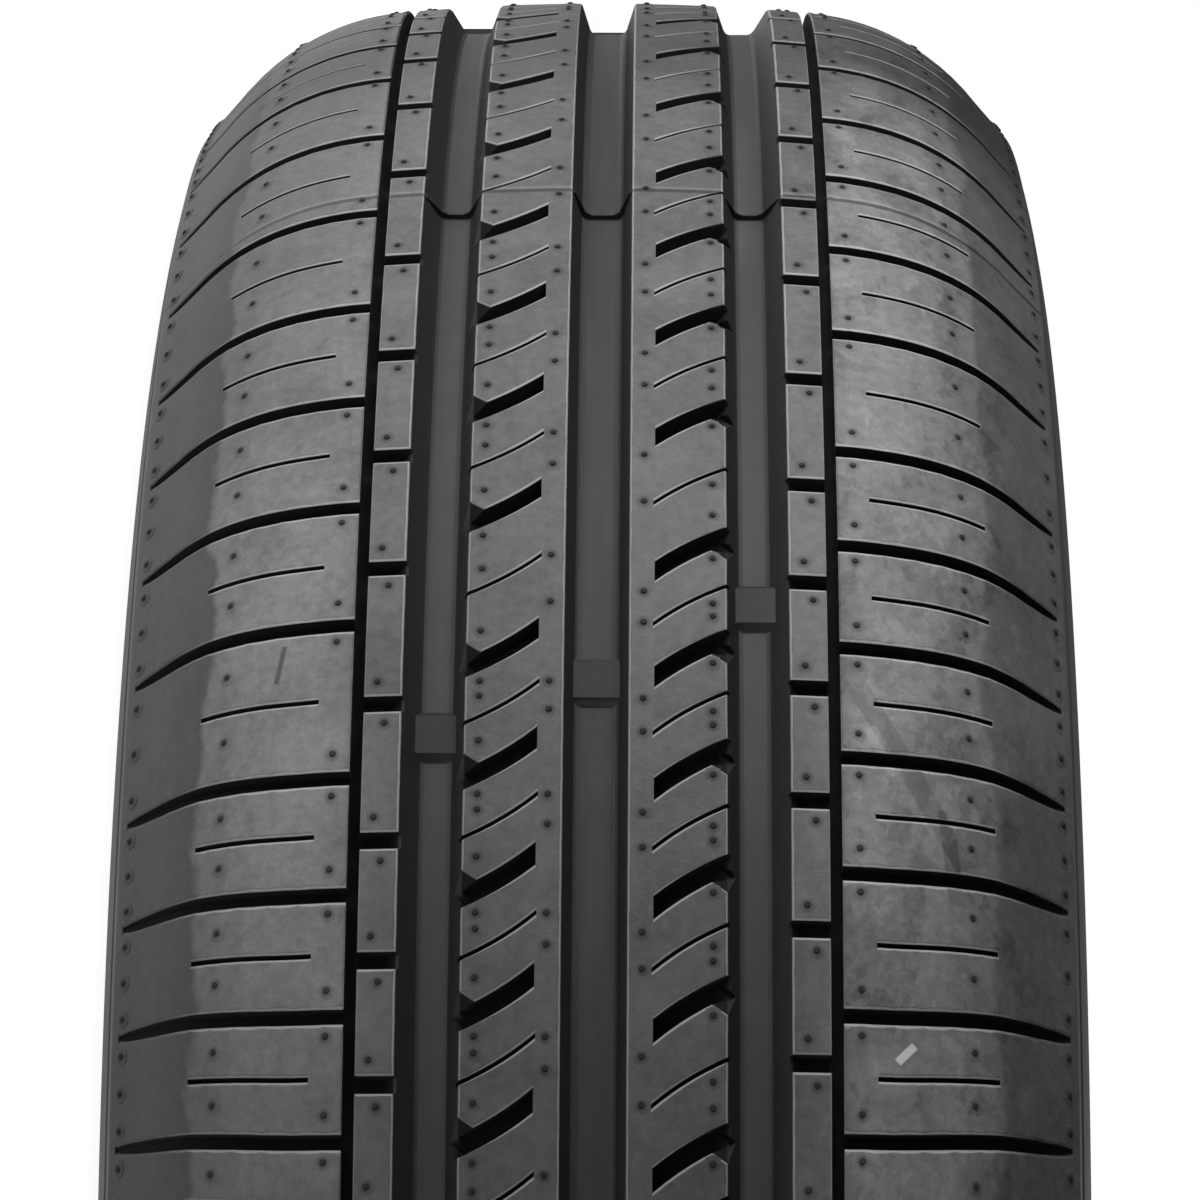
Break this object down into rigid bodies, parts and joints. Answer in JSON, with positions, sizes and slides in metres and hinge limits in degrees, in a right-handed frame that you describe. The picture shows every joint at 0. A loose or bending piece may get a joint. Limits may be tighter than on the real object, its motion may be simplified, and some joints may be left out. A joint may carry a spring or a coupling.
{
  "type": "car tyre",
  "caption": "Passenger car tyre: a hollow rubber ring with two beads, rounded sidewalls and a ribbed road tread with grooves, slots and wear bars.",
  "frame": {"origin": "centre of the tyre: on its axis, in the mid-plane of the tread", "axes": "+Z along the axis of the tyre, towards the sidewall that is on the right in the picture; -Y from the axis towards the part of the tread nearest the camera; the picture's up is -X. The tyre lies on its lower sidewall"},
  "size_m": [0.6343, 0.6344, 0.201],
  "materials": {
    "tyre": "matt moulded rubber"
  },
  "bodies": {
    "root": {"tyre": "tyre"}
  },
  "joints": []
}
